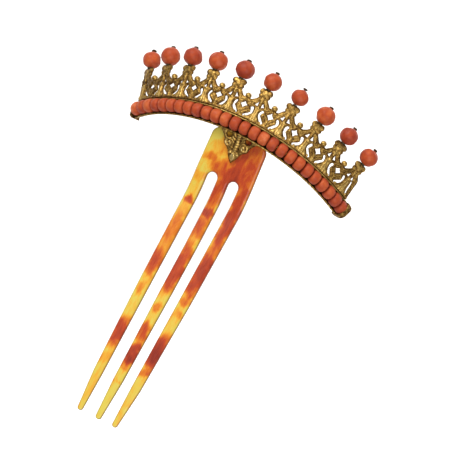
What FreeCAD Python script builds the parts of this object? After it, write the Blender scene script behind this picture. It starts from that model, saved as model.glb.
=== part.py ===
import FreeCAD, Part
import math
import os
from FreeCAD import Placement, Rotation, Vector

# Diadem comb: a three-pronged comb of mottled shell, hinged to a curved and
# flaring gallery of pierced gilt brass. The gallery has a channel with a strung
# row of coral beads below ten spires, each topped by a coral ball on a pin.
#
# Frame: millimetres, +X to the viewer's right, +Y to the back, +Z up along the
# prongs. The origin is the middle of the plate's thickness, on the centre line,
# level with the tops of the two slots.

DIMENSIONS = {
    # shell comb
    "shell_thickness": 2.4,
    "plate_lean": 21.0,
    "plate_length": 17.6,
    "plate_top_half": 11.4,
    "plate_half": 11.8,
    "plate_corner": 3.2,
    "knee_drop": 9.6,
    "knee_radius": 26.0,
    "slot_width": 4.6,
    "prong_length": 106.7,
    "root_half": 2.37,
    "middle_half": 2.2,
    "taper_half": 1.85,
    "tip_radius": 1.1,
    "tip_spread": 7.7,
    "tip_thickness": 1.5,
    "middle_depth": 50.0,
    "taper_depth": 90.0,
    # hinge between plate and gallery
    "hinge_setback": 0.5,
    "hinge_height": 19.4,
    "knuckle_radius": 1.25,
    "hinge_pin_radius": 0.6,
    "hinge_clearance": 0.03,
    "leaf_thickness": 0.6,
    "leaf_width": 19.0,
    "leaf_foot": 7.5,
    "gallery_knuckle_width": 7.2,
    "knuckle_gap": 0.2,
    "hinge_head_radius": 0.95,
    "hinge_head_length": 0.4,
    "rivet_radius": 0.75,
    "rivet_head_radius": 1.2,
    "rivet_head_height": 0.4,
    "rivet_spread": 4.0,
    "rivet_upper": 14.5,
    "rivet_lower": 11.5,
    # conical gallery
    "bead_line_radius": 57.8,
    "flare": 19.57,
    "bead_line_forward": 12.9,
    "gallery_offset": -1.2,
    "bead_line_height": 18.6,
    # bead channel
    "bead_count": 26,
    "bead_pitch": 4.18,
    "bead_length": 4.08,
    "bead_height": 5.6,
    "wire_radius": 0.4,
    "wire_clearance": 0.05,
    "channel_half": 2.9,
    "channel_wall": 0.5,
    "channel_lip": -0.6,
    "channel_arc": 109.1,
    "cap_arc": 1.0,
    "cap_nose_half": 2.0,
    "cap_nose": 2.2,
    "tab_half": 1.45,
    "tab_nose": 1.2,
    "joint_gap": 0.05,
    # pierced strip and its finials
    "spire_count": 10,
    "spire_pitch": 10.9,
    "strip_turn": -2.7,
    "strip_thickness": 0.9,
    "strip_set": -0.3,
    "end_post_arc": 3.3,
    "granule_radius": 1.15,
    "granule_height": 8.8,
    "spire_height": 13.7,
    "ball_radius": 3.7,
    "ball_height": 21.35,
    "cup_height": 0.55,
    "cup_foot_radius": 0.75,
    "cup_mouth_radius": 1.3,
    "pin_radius": 0.4,
    "pin_head_radius": 0.95,
    "pin_head_thickness": 0.7,
    # palmette under the channel
    "palmette_length": 11.0,
    "palmette_thickness": 0.8,
    "palmette_relief": 0.3,
    "palmette_lean": 32.4,
    "palmette_setback": 2.9,
    "palmette_drop": 0.75,
}

doc = FreeCAD.newDocument("DiademComb")
sheet = doc.addObject("Spreadsheet::Sheet", "Dimensions")
for row, (alias, number) in enumerate(DIMENSIONS.items(), start=1):
    sheet.set(f"A{row}", alias)
    sheet.set(f"B{row}", str(number))
    sheet.setAlias(f"B{row}", alias)
doc.recompute()


def size(alias):
    """Value of one named dimension."""
    return float(sheet.get(alias))


def bind(item, **formulas):
    """Tie properties of an object to formulas over the named dimensions."""
    for prop, formula in formulas.items():
        words = formula.replace("(", "( ").replace(")", " )").split()
        item.setExpression(prop, " ".join(f"Dimensions.{w}" if w in DIMENSIONS else w for w in words))
    return item


def primitive(kind, name, place=Placement(), **formulas):
    """One Part primitive, bound to the sheet and put in place."""
    item = doc.addObject(f"Part::{kind}", name)
    bind(item, **formulas)
    item.Placement = place
    return item


def fuse(name, pieces):
    """Several overlapping objects joined into one."""
    item = doc.addObject("Part::MultiFuse", name)
    item.Shapes = pieces
    return item


def cut(name, base, tool):
    """One object with another taken away."""
    item = doc.addObject("Part::Cut", name)
    item.Base = base
    item.Tool = tool
    return item


def group(name, pieces):
    """Several separate solids kept together as one sub-part."""
    item = doc.addObject("Part::Compound", name)
    item.Links = pieces
    return item


def feature(name, shape, place=Placement()):
    """A sub-part whose shape is made with Part functions."""
    item = doc.addObject("Part::Feature", name)
    item.Shape = shape
    item.Placement = place
    return item


def outline_face(points):
    """Flat face inside a closed line through points given as vectors."""
    return Part.Face(Part.makePolygon(points + points[:1]))


def at(across, depth, up):
    """Placement that only moves."""
    return Placement(Vector(across, depth, up), Rotation())


def turn(axis, degrees, origin=Vector()):
    """Placement that moves to an origin and turns about a local axis."""
    return Placement(origin, Rotation(axis, degrees))


X_AXIS, Y_AXIS, Z_AXIS = Vector(1, 0, 0), Vector(0, 1, 0), Vector(0, 0, 1)
RIGHT_ANGLE = 90.0

LEAN = math.radians(size("plate_lean"))
FLARE = math.radians(size("flare"))
JOINT_GAP = size("joint_gap")

# Frame of the leaning plate: local z runs up the plate, local y to its back.
plate_frame = turn(X_AXIS, size("plate_lean"))

# Frame of the gallery's cone: its axis is local z, the bead line is the circle
# at z = 0, and the middle of the gallery faces local -y and stands upright. The
# gallery was soldered a little to one side of the comb's middle.
cone_center = Vector(
    size("gallery_offset"),
    -size("bead_line_forward") + size("bead_line_radius") * math.cos(FLARE),
    size("bead_line_height") - size("bead_line_radius") * math.sin(FLARE),
)
cone_frame = turn(X_AXIS, -size("flare"), cone_center)


def cone_section(height, outward):
    """Radius and axial height of a point, from its height up the flare and its
    distance outwards from the surface that holds the bead line."""
    radius = size("bead_line_radius") + height * math.sin(FLARE) + outward * math.cos(FLARE)
    return radius, height * math.cos(FLARE) - outward * math.sin(FLARE)


def on_cone(angle, height, outward=0.0):
    """Placement on the cone at an angle from the middle: local x runs round the
    gallery, local y points inwards and local z up the flare."""
    radius, rise = cone_section(height, outward)
    stand = turn(X_AXIS, size("flare"), Vector(0, -radius, rise))
    return cone_frame * turn(Z_AXIS, angle) * stand


def spire_angles():
    """Angles of the spires, counted from the viewer's left."""
    count = int(size("spire_count"))
    first = size("strip_turn") - (count - 1) / 2 * size("spire_pitch")
    return [first + index * size("spire_pitch") for index in range(count)]


# ---------------------------------------------------------------------------
# Shell comb: one sheet of mottled shell, bent warm at the knee, sawn into a
# plate with three tapering prongs, and drilled for the hinge rivets.
# ---------------------------------------------------------------------------

def bent_sheet():
    """Side profile of the bent sheet, drawn across the comb and pulled wide."""
    half = size("shell_thickness") / 2
    tip_half = size("tip_thickness") / 2
    down = Vector(0, math.sin(LEAN), -math.cos(LEAN))
    back = Vector(0, math.cos(LEAN), math.sin(LEAN))
    knee = down * size("knee_drop")
    setback = size("knee_radius") * math.tan(LEAN / 2)
    center = knee - down * setback - back * size("knee_radius")
    taper_z = -size("taper_depth")
    tip_z = -size("prong_length")

    def arc(radius):
        corners = [LEAN, LEAN / 2, 0.0]
        points = [center + Vector(0, math.cos(a), math.sin(a)) * radius for a in corners]
        return Part.Arc(*points).toShape(), points[0], points[-1]

    outer, outer_top, outer_low = arc(size("knee_radius") + half)
    inner, inner_top, inner_low = arc(size("knee_radius") - half)
    top = -down * size("plate_length")
    line = Part.makeLine
    back_edges = [
        line(top + back * half, outer_top),
        outer,
        line(outer_low, Vector(0, knee.y + half, taper_z)),
        line(Vector(0, knee.y + half, taper_z), Vector(0, knee.y + tip_half, tip_z)),
    ]
    front_edges = [
        line(Vector(0, knee.y - tip_half, tip_z), Vector(0, knee.y - half, taper_z)),
        line(Vector(0, knee.y - half, taper_z), inner_low),
        inner,
        line(inner_top, top - back * half),
    ]
    foot = line(Vector(0, knee.y + tip_half, tip_z), Vector(0, knee.y - tip_half, tip_z))
    head = line(top - back * half, top + back * half)
    profile = Part.Face(Part.Wire(Part.__sortEdges__(back_edges + [foot] + front_edges + [head])))
    wide = 2 * size("plate_half")
    profile.translate(Vector(-wide / 2, 0, 0))
    return profile.extrude(Vector(wide, 0, 0))


def front_outline():
    """Front outline of plate and prongs: straight runs, round corners, slots
    and tips as arcs."""
    root, middle, taper = size("root_half"), size("middle_half"), size("taper_half")
    slot, tip = size("slot_width"), size("tip_radius")
    middle_z, taper_z = -size("middle_depth"), -size("taper_depth")
    slot_z = -slot / 2
    tip_z = tip - size("prong_length")
    top_z = size("plate_length") * math.cos(LEAN)
    corner, top_half = size("plate_corner"), size("plate_top_half")
    spread = size("tip_spread")

    def chain(points):
        return [Part.makeLine(Vector(*a), Vector(*b)) for a, b in zip(points, points[1:])]

    def half_round(x, z, radius, upward):
        left, right = Vector(x - radius, 0, z), Vector(x + radius, 0, z)
        return Part.Arc(left, Vector(x, 0, z + (radius if upward else -radius)), right).toShape()

    def mirrored(edge):
        return edge.mirror(Vector(), X_AXIS)

    side = [
        (top_half, 0, top_z - corner),
        (size("plate_half"), 0, 0),
        (middle * 3 + slot, 0, middle_z),
        (taper * 3 + slot, 0, taper_z),
        (spread + tip, 0, tip_z),
    ]
    inner = [
        (root + slot, 0, slot_z),
        (middle + slot, 0, middle_z),
        (taper + slot, 0, taper_z),
        (spread - tip, 0, tip_z),
    ]
    prong = [(root, 0, slot_z), (middle, 0, middle_z), (taper, 0, taper_z), (tip, 0, tip_z)]
    diagonal = corner * (1 - math.cos(math.pi / 4))
    corner_arc = Part.Arc(
        Vector(top_half - corner, 0, top_z),
        Vector(top_half - diagonal, 0, top_z - diagonal),
        Vector(top_half, 0, top_z - corner),
    ).toShape()
    right = [corner_arc, half_round(root + slot / 2, slot_z, slot / 2, True)]
    right += [half_round(spread, tip_z, tip, False)]
    right += chain(side) + chain(inner) + chain(prong)
    middle_edges = [half_round(0, tip_z, tip, False)]
    middle_edges += chain([(corner - top_half, 0, top_z), (top_half - corner, 0, top_z)])
    edges = right + [mirrored(edge) for edge in right] + middle_edges
    face = Part.Face(Part.Wire(Part.__sortEdges__(edges)))
    depth = size("knee_radius")
    face.translate(Vector(0, -depth, 0))
    return face.extrude(Vector(0, 2 * depth, 0))


def rivet_spots():
    """Rivet places on the plate, as across and up-the-plate positions."""
    spread, upper = size("rivet_spread"), size("rivet_upper")
    return [(-spread, upper), (spread, upper), (0.0, size("rivet_lower"))]


def rivet_holes():
    """Clearance holes for the rivets, square through the plate and leaf."""
    reach = size("shell_thickness") * 2
    radius = size("rivet_radius") + JOINT_GAP
    holes = []
    for across, up in rivet_spots():
        hole = Part.makeCylinder(radius, 2 * reach, Vector(across, -reach, up), Y_AXIS)
        hole.Placement = plate_frame * hole.Placement
        holes.append(hole)
    return holes


shell = bent_sheet().common(front_outline())
feature("shell_comb", shell.cut(rivet_holes()).removeSplitter())


# ---------------------------------------------------------------------------
# Hinge: a brass leaf riveted to the back of the plate with two outer knuckles,
# a leaf soldered to the channel with the middle knuckle, and a headed pin.
# ---------------------------------------------------------------------------

LEAF_FRONT = size("shell_thickness") / 2 + JOINT_GAP
hinge_in_plate = Vector(0, size("hinge_setback"), size("hinge_height"))
hinge_axis = plate_frame.multVec(hinge_in_plate)


def barrel(name, frame, start, radius, length):
    """A cylinder along X from a start across the comb, on the hinge axis."""
    place = frame * turn(Y_AXIS, RIGHT_ANGLE, Vector(start, 0, 0))
    return primitive("Cylinder", name, place, Radius=radius, Height=length)


axis_frame = Placement(hinge_axis, plate_frame.Rotation)
middle_half_width = size("gallery_knuckle_width") / 2
knuckle_start = middle_half_width + size("knuckle_gap")
leaf_half = size("leaf_width") / 2
outer_length = "leaf_width / 2 - gallery_knuckle_width / 2 - knuckle_gap"

leaf = primitive(
    "Box", "comb_leaf", plate_frame * at(-leaf_half, LEAF_FRONT, size("leaf_foot")),
    Length="leaf_width", Width="leaf_thickness", Height="hinge_height - leaf_foot",
)
notch = primitive(
    "Box", "comb_leaf_notch",
    axis_frame * at(-knuckle_start, 0, -size("knuckle_radius") - size("knuckle_gap")),
    Length="gallery_knuckle_width + 2 * knuckle_gap", Width="3 * knuckle_radius", Height="3 * knuckle_radius",
)
outer_knuckles = [
    barrel("comb_knuckle_left", axis_frame, -leaf_half, "knuckle_radius", outer_length),
    barrel("comb_knuckle_right", axis_frame, knuckle_start, "knuckle_radius", outer_length),
]
comb_bore = barrel("comb_bore", axis_frame, -leaf_half, "hinge_pin_radius + hinge_clearance", "leaf_width")
leaf_holes = feature("leaf_holes", Part.makeCompound(rivet_holes()))
comb_leaf_body = fuse("comb_leaf_body", [cut("notched_leaf", leaf, notch)] + outer_knuckles)
cut("comb_hinge_plate", cut("bored_comb_leaf", comb_leaf_body, comb_bore), leaf_holes)

pin_half = leaf_half + JOINT_GAP
head_start = -pin_half - size("hinge_head_length")
pin_shank = barrel("pin_shank", axis_frame, -pin_half, "hinge_pin_radius", "leaf_width + 2 * joint_gap")
pin_heads = [
    barrel("pin_head_left", axis_frame, head_start, "hinge_head_radius", "hinge_head_length"),
    barrel("pin_head_right", axis_frame, pin_half, "hinge_head_radius", "hinge_head_length"),
]
fuse("hinge_pin", [pin_shank] + pin_heads)


def rivet(index, across, up):
    """One rivet: a shank through plate and leaf with a flat head at each end."""
    front = -size("shell_thickness") / 2 - JOINT_GAP - size("rivet_head_height")
    back = LEAF_FRONT + size("leaf_thickness") + JOINT_GAP
    length = "shell_thickness + leaf_thickness + 3 * joint_gap + 2 * rivet_head_height"

    def disc(name, depth, radius, height):
        place = plate_frame * turn(X_AXIS, -RIGHT_ANGLE, Vector(across, depth, up))
        return primitive("Cylinder", f"{name}_{index}", place, Radius=radius, Height=height)

    pieces = [
        disc("rivet_shank", front, "rivet_radius", length),
        disc("rivet_front", front, "rivet_head_radius", "rivet_head_height"),
        disc("rivet_back", back, "rivet_head_radius", "rivet_head_height"),
    ]
    return fuse(f"rivet_{index}", pieces)


group("comb_rivets", [rivet(index, *spot) for index, spot in enumerate(rivet_spots())])

channel_back = size("channel_half") + size("channel_wall")
leaf_face = -size("bead_line_forward") + channel_back + 5 * JOINT_GAP
world_axis = at(*hinge_axis)
gallery_leaf = primitive(
    "Box", "gallery_leaf",
    at(-middle_half_width, leaf_face, size("bead_line_height") - size("channel_half")),
    Length="gallery_knuckle_width", Width="leaf_thickness", Height="2 * channel_half",
)
gallery_web = primitive(
    "Box", "gallery_web",
    at(-middle_half_width, leaf_face, hinge_axis.z - size("leaf_thickness")),
    Length="gallery_knuckle_width", Height="2 * leaf_thickness",
)
gallery_web.Width = hinge_axis.y - leaf_face
start, width, bore = -middle_half_width, "gallery_knuckle_width", "hinge_pin_radius + hinge_clearance"
gallery_knuckle = barrel("gallery_knuckle", world_axis, start, "knuckle_radius", width)
gallery_bore = barrel("gallery_bore", world_axis, start, bore, width)
gallery_leaf_body = fuse("gallery_leaf_body", [gallery_leaf, gallery_web, gallery_knuckle])
cut("gallery_hinge_plate", gallery_leaf_body, gallery_bore)


# ---------------------------------------------------------------------------
# Bead channel: a brass strip rolled into a C and curved along the cone, open
# to the front, with a stop at each end that anchors the stringing wire.
# ---------------------------------------------------------------------------

def section_sketch(body, points, hole_radius=0.0):
    """Closed section in the plane through the cone's axis, from heights up the
    flare and distances outwards, with an optional round hole at the bead line."""
    sketch = body.newObject("Sketcher::SketchObject", f"{body.Name}_section")
    plane = next(item for item in body.Origin.OriginFeatures if item.Role == "XZ_Plane")
    sketch.AttachmentSupport = [(plane, "")]
    sketch.MapMode = "FlatFace"
    corners = [Vector(*cone_section(height, outward), 0) for height, outward in points]
    for start, end in zip(corners, corners[1:] + corners[:1]):
        sketch.addGeometry(Part.LineSegment(start, end))
    if hole_radius:
        sketch.addGeometry(Part.Circle(Vector(*cone_section(0, 0), 0), Z_AXIS, hole_radius))
    return sketch


def swept_section(name, points, middle_angle, arc, hole_radius=0.0):
    """A section revolved about the cone's axis through an arc, evenly about an
    angle measured from the middle of the gallery."""
    body = doc.addObject("PartDesign::Body", name)
    sketch = section_sketch(body, points, hole_radius)
    turned = body.newObject("PartDesign::Revolution", f"{name}_turned")
    turned.Profile = sketch
    turned.ReferenceAxis = (sketch, ["V_Axis"])
    turned.Midplane = True
    bind(turned, Angle=arc)
    body.Placement = cone_frame * turn(Z_AXIS, middle_angle - RIGHT_ANGLE)
    return body


inside, wall, lip = size("channel_half"), size("channel_wall"), size("channel_lip")
channel_points = [
    (inside + wall, -inside - wall), (inside + wall, lip), (inside, lip), (inside, -inside),
    (-inside, -inside), (-inside, lip), (-inside - wall, lip), (-inside - wall, -inside - wall),
]
swept_section("bead_channel", channel_points, 0.0, "channel_arc")

stop_angle = (size("channel_arc") + size("cap_arc")) / 2 + JOINT_GAP
wire_hole = size("wire_radius") + size("wire_clearance")
outside = inside + wall
cap_half, cap_nose = size("cap_nose_half"), size("cap_nose")
cap_points = [
    (outside, -outside), (outside, lip), (cap_half, cap_nose),
    (-cap_half, cap_nose), (-outside, lip), (-outside, -outside),
]
tab_half, tab_nose = size("tab_half"), size("tab_nose")
tab_points = [(tab_half, -outside), (tab_half, tab_nose), (-outside, tab_nose), (-outside, -outside)]
swept_section("end_cap", cap_points, stop_angle, "cap_arc", wire_hole)
swept_section("end_tab", tab_points, -stop_angle, "cap_arc", wire_hole)


# ---------------------------------------------------------------------------
# Strung row: one brass wire through twenty-six short coral beads.
# ---------------------------------------------------------------------------

wire_arc = size("channel_arc") + 2 * size("cap_arc") + 2 * JOINT_GAP
primitive(
    "Torus", "bead_wire", cone_frame * turn(Z_AXIS, -RIGHT_ANGLE - wire_arc / 2),
    Radius1="bead_line_radius", Radius2="wire_radius", Angle3="channel_arc + 2 * cap_arc + 2 * joint_gap",
)


def bead(index):
    """A rounded bead, longer across the band than along the wire, drilled."""
    number = f"{index + 1:02d}"
    angle = (index - (size("bead_count") - 1) / 2) * size("bead_pitch")
    lying = turn(Y_AXIS, RIGHT_ANGLE)
    blank = primitive(
        "Ellipsoid", f"bead_blank_{number}", Placement(),
        Radius1="bead_length / 2", Radius2="bead_height / 2", Radius3="bead_height / 2",
    )
    hole = primitive(
        "Cylinder", f"bead_hole_{number}", at(0, 0, -size("bead_length")),
        Radius="wire_radius + wire_clearance", Height="2 * bead_length",
    )
    cut(f"bead_{number}", blank, hole).Placement = on_cone(angle, 0.0) * lying


for bead_index in range(int(size("bead_count"))):
    bead(bead_index)


# ---------------------------------------------------------------------------
# Pierced strip: one brass strip, stamped and pierced with ten trefoil spires
# and the diamond eyes between them, a granule over each eye, bent to the cone.
# ---------------------------------------------------------------------------

STRIP_FOOT = channel_back + JOINT_GAP
REACH = 6.5
RAIL = 0.9

# Outlines of one bay in the flat strip, as distances from the spire's axis and
# heights above the strip's foot. The same outlines are mirrored to the left.
SPIRE_EDGE = [(0.6, 12.8), (1.55, 10.9), (1.65, 10.2), (3.6, 7.9), (REACH, 7.9), (REACH, 0.0)]
SPIRE_TIP_HALF = 0.6
CROWN_ROUNDS = [(0.0, 12.25, 1.35), (1.85, 12.1, 1.1), (-1.85, 12.1, 1.1)]
SCROLL_GAP = [
    (2.85, 5.1), (2.45, 4.2), (2.5, 3.6), (3.0, 2.85), (3.85, 2.0), (4.4, RAIL),
    (3.2, RAIL), (2.9, 1.3), (2.2, 1.95), (1.4, 3.0), (1.25, 4.3), (1.7, 5.5),
]
END_GAP = [(2.6, 5.2), (2.6, RAIL), (1.6, RAIL), (1.6, 2.4), (1.25, 3.6), (1.25, 4.3), (1.7, 5.5)]
LEG_GAP = [(0.6, 6.1), (1.9, 6.3), (0.75, 8.4)]
EYE = [(5.6, 3.35), (REACH + 1, 4.4), (REACH + 1, 6.1), (5.6, 7.15), (3.95, 5.25)]


def disc_face(across, up, radius):
    """Round flat face in the strip's plane."""
    circle = Part.makeCircle(radius, Vector(across, 0, up), Y_AXIS)
    return Part.Face(Part.Wire(circle))


def flat_face(points, side=1):
    """Flat face in the strip's plane from distances and heights, or its mirror
    image when the side is -1."""
    return outline_face([Vector(side * across, 0, up) for across, up in points])


def motif_face(left_post, right_post):
    """One bay of the strip, from eye to eye, about the axis of its spire. A post
    closes the outer side of the first and last bays instead of half an eye."""
    right_edge = [(SPIRE_TIP_HALF, size("spire_height"))] + SPIRE_EDGE
    left_edge = [(-across, up) for across, up in reversed(right_edge)]
    face = flat_face(left_edge + right_edge)
    face = face.fuse([disc_face(*spot) for spot in CROWN_ROUNDS]).removeSplitter()
    openings = []
    for side, post in ((1, right_post), (-1, left_post)):
        gaps = [LEG_GAP, END_GAP] if post else [LEG_GAP, SCROLL_GAP, EYE]
        openings += [flat_face(gap, side) for gap in gaps]
    return face.cut(openings)


def cone_wedge(start, end):
    """The strip's conical shell between two angles, at its full height."""
    inner = size("strip_set") - size("strip_thickness") / 2
    outer = size("strip_set") + size("strip_thickness") / 2
    low, high = STRIP_FOOT, STRIP_FOOT + size("spire_height") + 1
    corners = [(low, inner), (low, outer), (high, outer), (high, inner)]
    points = []
    for height, outward in corners:
        radius, rise = cone_section(height, outward)
        points.append(Vector(0, -radius, rise))
    section = outline_face(points)
    section.rotate(Vector(), Z_AXIS, start)
    return section.revolve(Vector(), Z_AXIS, end - start)


def strip_bay(left_post, right_post):
    """One bay as a solid on the cone, with its spire at the middle angle."""
    half = size("spire_pitch") / 2
    start = -size("end_post_arc") if left_post else -half
    end = size("end_post_arc") if right_post else half
    prism = motif_face(left_post, right_post)
    prism.translate(Vector(0, -REACH, 0))
    prism = prism.extrude(Vector(0, 2 * REACH, 0))
    radius, rise = cone_section(STRIP_FOOT, size("strip_set"))
    prism.Placement = turn(X_AXIS, size("flare"), Vector(0, -radius, rise))
    return cone_wedge(start, end).common(prism)


def pierced_strip():
    """All bays turned to their places and joined, with the granules."""
    angles = spire_angles()
    inner_bay = strip_bay(False, False)
    bays = [strip_bay(True, False)] + [inner_bay.copy() for _ in angles[2:]] + [strip_bay(False, True)]
    for angle, bay in zip(angles, bays):
        bay.rotate(Vector(), Z_AXIS, angle)
    granules = []
    for left, right in zip(angles, angles[1:]):
        radius, rise = cone_section(STRIP_FOOT + size("granule_height"), size("strip_set"))
        grain = Part.makeSphere(size("granule_radius"), Vector(0, -radius, rise))
        grain.rotate(Vector(), Z_AXIS, (left + right) / 2)
        granules.append(grain)
    return bays[0].fuse(bays[1:] + granules).removeSplitter()


feature("pierced_strip", pierced_strip(), cone_frame)


# ---------------------------------------------------------------------------
# Finials: on each spire a small cup, a drilled coral ball and a pin whose flat
# dark head holds the ball down.
# ---------------------------------------------------------------------------

def finial_place(angle, height):
    """Placement up the flare on a spire's axis, in the strip's surface."""
    return on_cone(angle, height, size("strip_set"))


def cup(index, angle):
    """A shallow cup on the spire's tip, drilled for the pin."""
    foot = finial_place(angle, STRIP_FOOT + size("spire_height") + JOINT_GAP)
    blank = primitive(
        "Cone", f"cup_blank_{index}", foot,
        Radius1="cup_foot_radius", Radius2="cup_mouth_radius", Height="cup_height",
    )
    hollow = primitive("Sphere", f"cup_hollow_{index}", finial_place(angle, size("ball_height")),
                       Radius="ball_radius + joint_gap")
    hole = primitive(
        "Cylinder", f"cup_hole_{index}", foot, Radius="pin_radius + wire_clearance", Height="cup_height",
    )
    return cut(f"cup_{index}", blank, fuse(f"cup_clearance_{index}", [hollow, hole]))


def ball_pin(index, angle):
    """A shank through cup and ball with a flat head on top."""
    start = STRIP_FOOT + size("spire_height") + 2 * JOINT_GAP
    head = size("ball_height") + size("ball_radius") + JOINT_GAP
    shank = primitive("Cylinder", f"ball_shank_{index}", finial_place(angle, start), Radius="pin_radius")
    shank.Height = head - start + size("pin_head_thickness") / 2
    disc = primitive(
        "Cylinder", f"ball_pin_head_{index}", finial_place(angle, head),
        Radius="pin_head_radius", Height="pin_head_thickness",
    )
    return fuse(f"ball_pin_{index}", [shank, disc])


def ball(index, angle):
    """A coral ball drilled through for its pin."""
    number = f"{index + 1:02d}"
    blank = primitive("Sphere", f"ball_blank_{number}", Placement(), Radius="ball_radius")
    hole = primitive(
        "Cylinder", f"ball_hole_{number}", at(0, 0, -size("ball_radius") * 2),
        Radius="pin_radius + wire_clearance", Height="4 * ball_radius",
    )
    cut(f"finial_ball_{number}", blank, hole).Placement = finial_place(angle, size("ball_height"))


for spire_index, spire_angle in enumerate(spire_angles()):
    ball(spire_index, spire_angle)
group("ball_cups", [cup(index, angle) for index, angle in enumerate(spire_angles())])
group("ball_pins", [ball_pin(index, angle) for index, angle in enumerate(spire_angles())])


# ---------------------------------------------------------------------------
# Palmette: a stamped leaf below the channel's middle. Its tip bears on the
# front of the plate and stops the gallery upright.
# ---------------------------------------------------------------------------

# Outlines as distances from the middle and heights above the tip.
PALMETTE_EDGE = [(0.0, 0.0), (1.9, 2.6), (2.4, 4.6), (3.4, 5.4), (4.6, 6.4), (5.9, 8.6), (8.0, 11.0)]
PALMETTE_RIB = [(0.0, 1.2), (1.1, 4.0), (0.0, 7.2), (-1.1, 4.0)]
PALMETTE_EYE = (3.3, 9.1, 1.0)
PALMETTE_SCROLL = (3.7, 6.9, 1.5)


def palmette():
    """Pointed leaf with two scrolls, two open eyes and a raised middle rib."""
    thick, relief = size("palmette_thickness"), size("palmette_relief")
    left_edge = [(-across, up) for across, up in reversed(PALMETTE_EDGE[1:])]
    across, up, radius = PALMETTE_EYE
    eyes = [disc_face(side * across, up, radius) for side in (1, -1)]
    plate = flat_face(PALMETTE_EDGE + left_edge).cut(eyes).extrude(Vector(0, thick, 0))
    across, up, radius = PALMETTE_SCROLL
    raised = [disc_face(side * across, up, radius) for side in (1, -1)] + [flat_face(PALMETTE_RIB)]
    for face in raised:
        face.translate(Vector(0, -relief, 0))
    solids = [face.extrude(Vector(0, thick + relief, 0)) for face in raised]
    return plate.fuse(solids).removeSplitter()


palmette_top = Vector(
    0,
    size("palmette_setback") - size("bead_line_forward"),
    size("bead_line_height") - channel_back - size("palmette_drop"),
)
palmette_lean = math.radians(size("palmette_lean"))
palmette_run = Vector(0, math.sin(palmette_lean), -math.cos(palmette_lean)) * size("palmette_length")
feature("palmette", palmette(), turn(X_AXIS, size("palmette_lean"), palmette_top + palmette_run))


# ---------------------------------------------------------------------------
# Check every object, then write each sub-part to its own file.
# ---------------------------------------------------------------------------

NODES = ["shell_comb", "comb_hinge_plate", "comb_rivets", "hinge_pin"]
NODES += ["gallery_hinge_plate", "bead_channel", "end_cap", "end_tab", "bead_wire"]
NODES += [f"bead_{index + 1:02d}" for index in range(int(size("bead_count")))]
NODES += ["pierced_strip", "ball_cups", "ball_pins", "palmette"]
NODES += [f"finial_ball_{index + 1:02d}" for index in range(int(size("spire_count")))]

doc.recompute()
for item in doc.Objects:
    if "Invalid" in item.State or "Error" in item.State:
        raise RuntimeError(f"{item.Name} failed: {item.State}")

os.makedirs("parts", exist_ok=True)
for node in NODES:
    item = doc.getObject(node)
    item.Label = node
    if item.Shape.isNull() or not item.Shape.isValid():
        raise RuntimeError(f"{node} has no valid shape")
for node in NODES:
    doc.getObject(node).Shape.exportStep(f"parts/{node}.step")
    shape = doc.getObject(node).Shape
    print(f"{node}: {len(shape.Solids)} solid(s), {shape.Volume:.2f} cubic mm")
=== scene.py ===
import math

import bmesh
import bpy
import numpy as np
from mathutils import Matrix, Vector


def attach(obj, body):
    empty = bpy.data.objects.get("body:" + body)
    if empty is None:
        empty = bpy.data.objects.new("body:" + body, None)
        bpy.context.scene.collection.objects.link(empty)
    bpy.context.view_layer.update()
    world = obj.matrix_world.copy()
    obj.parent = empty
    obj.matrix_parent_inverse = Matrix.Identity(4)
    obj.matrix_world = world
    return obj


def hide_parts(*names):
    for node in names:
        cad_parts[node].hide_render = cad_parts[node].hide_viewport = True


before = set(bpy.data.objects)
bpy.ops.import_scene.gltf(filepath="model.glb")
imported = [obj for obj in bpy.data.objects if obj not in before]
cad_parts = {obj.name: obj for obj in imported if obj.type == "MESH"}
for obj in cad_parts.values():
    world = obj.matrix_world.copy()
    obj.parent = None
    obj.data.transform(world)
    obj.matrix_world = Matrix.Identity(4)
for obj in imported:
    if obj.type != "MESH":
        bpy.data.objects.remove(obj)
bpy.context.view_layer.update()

MM = 0.001


# ---------------------------------------------------------------------------
# Shell comb. One sheet of mottled shell, sawn into a plate with three long
# tapering prongs, bent warm just below the slots, and polished until every
# edge is round.
# ---------------------------------------------------------------------------

SHEET_THICKNESS = 2.4 * MM
EDGE_ROUNDING = 1.15 * MM
PLATE_LEAN = math.radians(21.0)
PLATE_TOP = 17.6 * MM * math.cos(PLATE_LEAN)
PLATE_CORNER = 3.2 * MM
KNEE_DROP = 9.6 * MM
KNEE_RADIUS = 26.0 * MM
SLOT_HALF = 2.15 * MM
SLOT_CENTER = 4.67 * MM
TIP_Z = -106.7 * MM
TIP_ROUND = 1.1 * MM
TIP_THINNESS = 0.62
THINNING_START = -88 * MM


def make_piece(name, points, faces, values=None, smooth=True):
    """A mesh object at the origin from an array of points and an array of
    four-cornered faces, with named numbers stored at its points."""
    mesh = bpy.data.meshes.new(name)
    points = np.asarray(points, float).reshape(-1, 3)
    mesh.from_pydata(points, [], np.asarray(faces).reshape(-1, 4).tolist())
    for key, numbers in (values or {}).items():
        layer = mesh.attributes.new(key, "FLOAT", "POINT")
        layer.data.foreach_set("value", np.asarray(numbers, np.float32).ravel())
    mesh.validate()
    merge_seams(mesh)
    mesh.polygons.foreach_set("use_smooth", [smooth] * len(mesh.polygons))
    piece = bpy.data.objects.new(name, mesh)
    bpy.context.scene.collection.objects.link(piece)
    return piece


def merge_seams(mesh, distance=1e-7):
    """Joins points that lie together, so that seams and poles are closed, drops
    faces with no area, and turns every face outwards."""
    work = bmesh.new()
    work.from_mesh(mesh)
    bmesh.ops.remove_doubles(work, verts=work.verts, dist=distance)
    bmesh.ops.dissolve_degenerate(work, edges=work.edges, dist=distance / 10)
    bmesh.ops.recalc_face_normals(work, faces=work.faces)
    work.to_mesh(mesh)
    work.free()


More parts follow.
